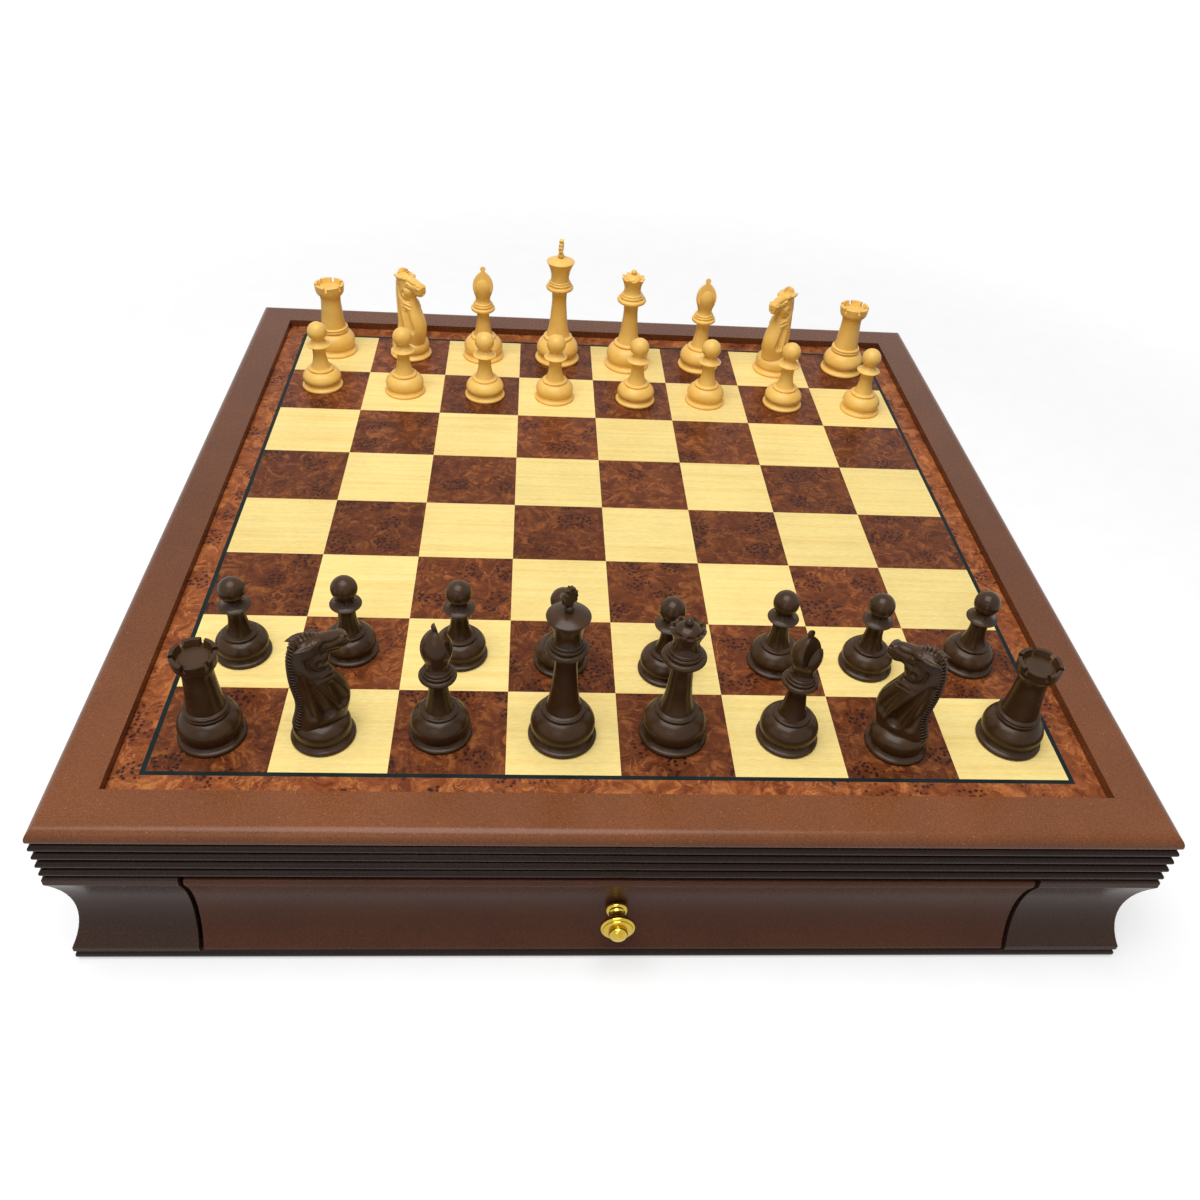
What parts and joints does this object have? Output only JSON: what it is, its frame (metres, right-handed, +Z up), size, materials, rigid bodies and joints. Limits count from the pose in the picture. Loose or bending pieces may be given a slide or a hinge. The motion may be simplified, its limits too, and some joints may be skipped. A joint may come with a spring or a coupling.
{
  "type": "chess box",
  "caption": "Square chess box: veneered playing field in a raised frame, reeded and coved sides, a front drawer with a brass knob, and loose chessmen standing on the squares.",
  "frame": {"origin": "middle of the box's underside, level with the table", "axes": "+X to the right as seen from the drawer side, +Y from the drawer front to the back, +Z up"},
  "size_m": [0.52, 0.5322, 0.1864],
  "materials": {
    "dark_moulding": "satin, very dark brown stained moulding",
    "frame_wood": "satin brown, fine fibre specks",
    "carcass_wood": "raw board, unseen from outside",
    "maple_veneer": "satin varnish, pale yellow, fine grain along X",
    "burl_veneer": "satin varnish, red-brown burl",
    "border_veneer": "satin varnish, orange-brown burl",
    "inlay_veneer": "satin varnish, green-black",
    "drawer_wood": "satin stained board",
    "drawer_front_wood": "satin, dark red-brown stained moulding",
    "lining_felt": "short green felt",
    "knob_brass": "polished",
    "screw_steel": "plain zinc",
    "dark_men": "satin dark brown",
    "light_men": "satin boxwood tan"
  },
  "bodies": {
    "case": {"base_board": "dark_moulding", "base_screws": "screw_steel", "cove_panel_left": "dark_moulding", "cove_panel_right": "dark_moulding", "cove_panel_back": "dark_moulding", "corner_block_left": "dark_moulding", "corner_block_right": "dark_moulding", "reeded_mouldings": "dark_moulding", "frame_rail_front": "frame_wood", "frame_rail_back": "frame_wood", "frame_rail_left": "frame_wood", "frame_rail_right": "frame_wood", "board_panel": "carcass_wood", "maple_squares": "maple_veneer", "burl_squares": "burl_veneer", "inlay_line": "inlay_veneer", "burl_border": "border_veneer", "drawer_guides": "carcass_wood", "drawer_stop": "carcass_wood"},
    "drawer": {"drawer_front": "drawer_front_wood", "drawer_side_left": "drawer_wood", "drawer_side_right": "drawer_wood", "drawer_back": "drawer_wood", "drawer_bottom": "drawer_wood", "drawer_lining": "lining_felt", "drawer_knob": "knob_brass", "knob_screw": "screw_steel"},
    "dark_rook_left": {"dark_rook_left": "dark_men"},
    "dark_knight_left": {"dark_knight_left": "dark_men"},
    "dark_bishop_left": {"dark_bishop_left": "dark_men"},
    "dark_king": {"dark_king": "dark_men"},
    "dark_queen": {"dark_queen": "dark_men"},
    "dark_bishop_right": {"dark_bishop_right": "dark_men"},
    "dark_knight_right": {"dark_knight_right": "dark_men"},
    "dark_rook_right": {"dark_rook_right": "dark_men"},
    "dark_pawn_1": {"dark_pawn_1": "dark_men"},
    "dark_pawn_2": {"dark_pawn_2": "dark_men"},
    "dark_pawn_3": {"dark_pawn_3": "dark_men"},
    "dark_pawn_4": {"dark_pawn_4": "dark_men"},
    "dark_pawn_5": {"dark_pawn_5": "dark_men"},
    "dark_pawn_6": {"dark_pawn_6": "dark_men"},
    "dark_pawn_7": {"dark_pawn_7": "dark_men"},
    "dark_pawn_8": {"dark_pawn_8": "dark_men"},
    "light_rook_left": {"light_rook_left": "light_men"},
    "light_knight_left": {"light_knight_left": "light_men"},
    "light_bishop_left": {"light_bishop_left": "light_men"},
    "light_king": {"light_king": "light_men"},
    "light_queen": {"light_queen": "light_men"},
    "light_bishop_right": {"light_bishop_right": "light_men"},
    "light_knight_right": {"light_knight_right": "light_men"},
    "light_rook_right": {"light_rook_right": "light_men"},
    "light_pawn_1": {"light_pawn_1": "light_men"},
    "light_pawn_2": {"light_pawn_2": "light_men"},
    "light_pawn_3": {"light_pawn_3": "light_men"},
    "light_pawn_4": {"light_pawn_4": "light_men"},
    "light_pawn_5": {"light_pawn_5": "light_men"},
    "light_pawn_6": {"light_pawn_6": "light_men"},
    "light_pawn_7": {"light_pawn_7": "light_men"},
    "light_pawn_8": {"light_pawn_8": "light_men"}
  },
  "joints": [
    {"name": "box_drawer_slide", "type": "slide", "parent": "case", "child": "drawer", "axis": [0, -1, 0], "range_m": [0, 0.3]},
    {"name": "dark_rook_left_lift", "type": "slide", "parent": "case", "child": "dark_rook_left", "axis": [0, 0, 1], "range_m": [0, 0.1]},
    {"name": "dark_knight_left_lift", "type": "slide", "parent": "case", "child": "dark_knight_left", "axis": [0, 0, 1], "range_m": [0, 0.1]},
    {"name": "dark_bishop_left_lift", "type": "slide", "parent": "case", "child": "dark_bishop_left", "axis": [0, 0, 1], "range_m": [0, 0.1]},
    {"name": "dark_king_lift", "type": "slide", "parent": "case", "child": "dark_king", "axis": [0, 0, 1], "range_m": [0, 0.1]},
    {"name": "dark_queen_lift", "type": "slide", "parent": "case", "child": "dark_queen", "axis": [0, 0, 1], "range_m": [0, 0.1]},
    {"name": "dark_bishop_right_lift", "type": "slide", "parent": "case", "child": "dark_bishop_right", "axis": [0, 0, 1], "range_m": [0, 0.1]},
    {"name": "dark_knight_right_lift", "type": "slide", "parent": "case", "child": "dark_knight_right", "axis": [0, 0, 1], "range_m": [0, 0.1]},
    {"name": "dark_rook_right_lift", "type": "slide", "parent": "case", "child": "dark_rook_right", "axis": [0, 0, 1], "range_m": [0, 0.1]},
    {"name": "dark_pawn_1_lift", "type": "slide", "parent": "case", "child": "dark_pawn_1", "axis": [0, 0, 1], "range_m": [0, 0.1]},
    {"name": "dark_pawn_2_lift", "type": "slide", "parent": "case", "child": "dark_pawn_2", "axis": [0, 0, 1], "range_m": [0, 0.1]},
    {"name": "dark_pawn_3_lift", "type": "slide", "parent": "case", "child": "dark_pawn_3", "axis": [0, 0, 1], "range_m": [0, 0.1]},
    {"name": "dark_pawn_4_lift", "type": "slide", "parent": "case", "child": "dark_pawn_4", "axis": [0, 0, 1], "range_m": [0, 0.1]},
    {"name": "dark_pawn_5_lift", "type": "slide", "parent": "case", "child": "dark_pawn_5", "axis": [0, 0, 1], "range_m": [0, 0.1]},
    {"name": "dark_pawn_6_lift", "type": "slide", "parent": "case", "child": "dark_pawn_6", "axis": [0, 0, 1], "range_m": [0, 0.1]},
    {"name": "dark_pawn_7_lift", "type": "slide", "parent": "case", "child": "dark_pawn_7", "axis": [0, 0, 1], "range_m": [0, 0.1]},
    {"name": "dark_pawn_8_lift", "type": "slide", "parent": "case", "child": "dark_pawn_8", "axis": [0, 0, 1], "range_m": [0, 0.1]},
    {"name": "light_rook_left_lift", "type": "slide", "parent": "case", "child": "light_rook_left", "axis": [0, 0, 1], "range_m": [0, 0.1]},
    {"name": "light_knight_left_lift", "type": "slide", "parent": "case", "child": "light_knight_left", "axis": [0, 0, 1], "range_m": [0, 0.1]},
    {"name": "light_bishop_left_lift", "type": "slide", "parent": "case", "child": "light_bishop_left", "axis": [0, 0, 1], "range_m": [0, 0.1]},
    {"name": "light_king_lift", "type": "slide", "parent": "case", "child": "light_king", "axis": [0, 0, 1], "range_m": [0, 0.1]},
    {"name": "light_queen_lift", "type": "slide", "parent": "case", "child": "light_queen", "axis": [0, 0, 1], "range_m": [0, 0.1]},
    {"name": "light_bishop_right_lift", "type": "slide", "parent": "case", "child": "light_bishop_right", "axis": [0, 0, 1], "range_m": [0, 0.1]},
    {"name": "light_knight_right_lift", "type": "slide", "parent": "case", "child": "light_knight_right", "axis": [0, 0, 1], "range_m": [0, 0.1]},
    {"name": "light_rook_right_lift", "type": "slide", "parent": "case", "child": "light_rook_right", "axis": [0, 0, 1], "range_m": [0, 0.1]},
    {"name": "light_pawn_1_lift", "type": "slide", "parent": "case", "child": "light_pawn_1", "axis": [0, 0, 1], "range_m": [0, 0.1]},
    {"name": "light_pawn_2_lift", "type": "slide", "parent": "case", "child": "light_pawn_2", "axis": [0, 0, 1], "range_m": [0, 0.1]},
    {"name": "light_pawn_3_lift", "type": "slide", "parent": "case", "child": "light_pawn_3", "axis": [0, 0, 1], "range_m": [0, 0.1]},
    {"name": "light_pawn_4_lift", "type": "slide", "parent": "case", "child": "light_pawn_4", "axis": [0, 0, 1], "range_m": [0, 0.1]},
    {"name": "light_pawn_5_lift", "type": "slide", "parent": "case", "child": "light_pawn_5", "axis": [0, 0, 1], "range_m": [0, 0.1]},
    {"name": "light_pawn_6_lift", "type": "slide", "parent": "case", "child": "light_pawn_6", "axis": [0, 0, 1], "range_m": [0, 0.1]},
    {"name": "light_pawn_7_lift", "type": "slide", "parent": "case", "child": "light_pawn_7", "axis": [0, 0, 1], "range_m": [0, 0.1]},
    {"name": "light_pawn_8_lift", "type": "slide", "parent": "case", "child": "light_pawn_8", "axis": [0, 0, 1], "range_m": [0, 0.1]}
  ]
}
